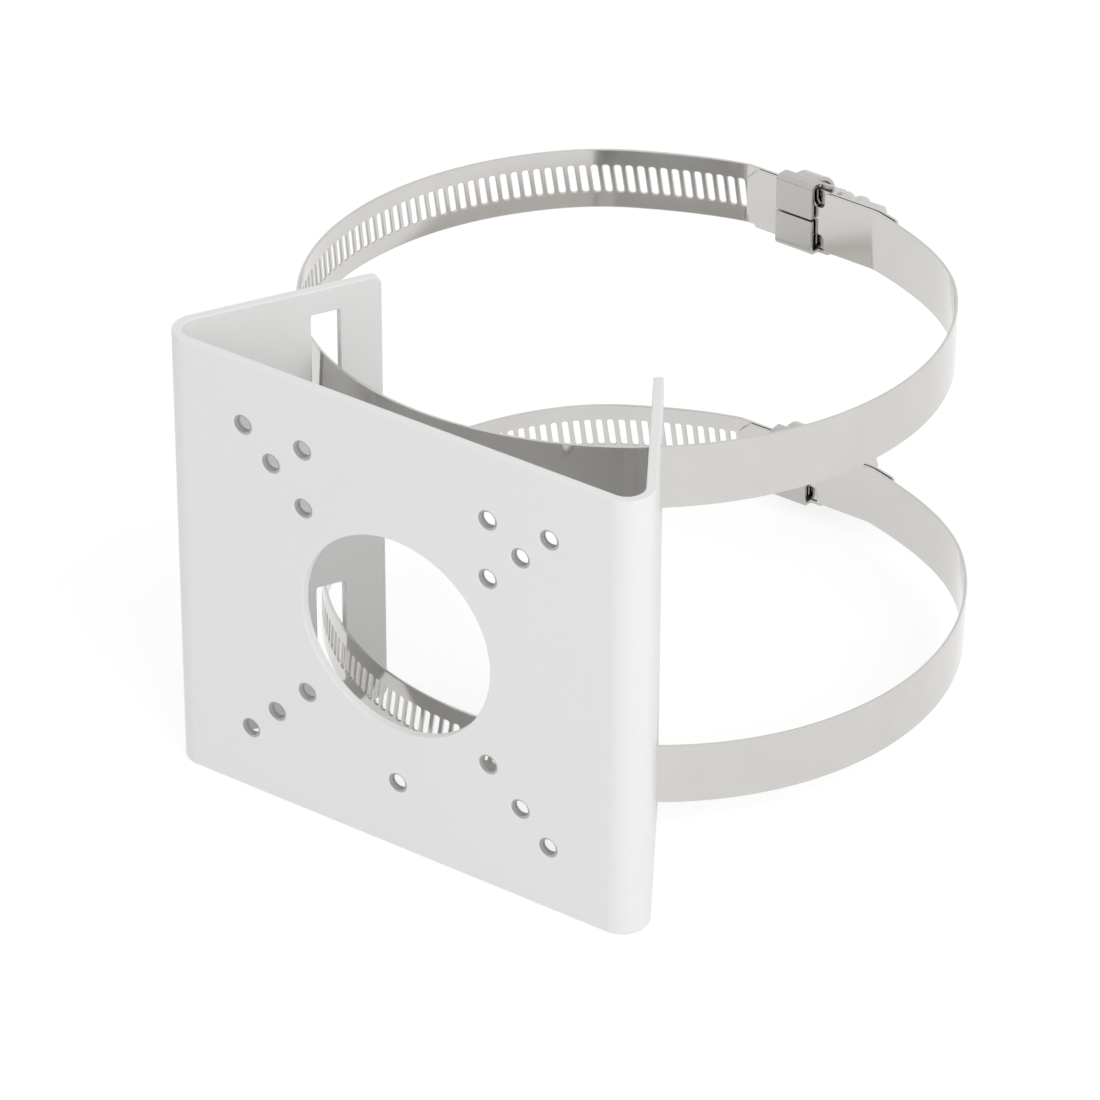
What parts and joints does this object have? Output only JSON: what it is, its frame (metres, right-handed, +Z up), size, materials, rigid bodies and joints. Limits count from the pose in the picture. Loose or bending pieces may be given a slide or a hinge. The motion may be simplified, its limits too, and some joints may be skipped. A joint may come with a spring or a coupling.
{
  "type": "pole mount bracket with band clamps",
  "caption": "Folded steel plate with a cable hole, screw holes and leaning slotted flanges that straddle a pole, held by perforated band clamps with worm screws.",
  "frame": {"origin": "middle of the plate's lower front edge", "axes": "+Z up the plate and along the pole, +Y from the plate's front face back towards the pole, +X to the right seen from the front"},
  "size_m": [0.1385, 0.159, 0.101],
  "materials": {
    "painted_steel": "light grey satin powder coat on folded steel",
    "band_stainless": "bright rolled stainless strip",
    "housing_stainless": "bright pressed stainless sheet",
    "screw_steel": "plated screw steel"
  },
  "bodies": {
    "bracket": {"bracket_plate": "painted_steel"},
    "clamp_upper": {"band_upper": "band_stainless", "housing_upper": "housing_stainless"},
    "worm_upper": {"screw_upper": "screw_steel"},
    "clamp_lower": {"band_lower": "band_stainless", "housing_lower": "housing_stainless"},
    "worm_lower": {"screw_lower": "screw_steel"}
  },
  "joints": [
    {"name": "clamp_upper_turn", "type": "hinge", "parent": "bracket", "child": "clamp_upper", "pos_m": [-0.0028, 0.0851, 0.0788], "axis": [-0.0399, 0.0658, 0.997], "range_deg": [-88, 100]},
    {"name": "worm_upper_spin", "type": "hinge", "parent": "clamp_upper", "child": "worm_upper", "pos_m": [0.00329, 0.15247, 0.0746], "axis": [0.9952, -0.0871, 0.0456], "continuous": true},
    {"name": "clamp_lower_turn", "type": "hinge", "parent": "bracket", "child": "clamp_lower", "pos_m": [0.0023, 0.0849, 0.0142], "axis": [-0.001, 0.033, 0.9995], "range_deg": [-100, 100]},
    {"name": "worm_lower_spin", "type": "hinge", "parent": "clamp_lower", "child": "worm_lower", "pos_m": [0.00289, 0.15263, 0.01196], "axis": [1, -0.0087, 0.0013], "continuous": true}
  ]
}
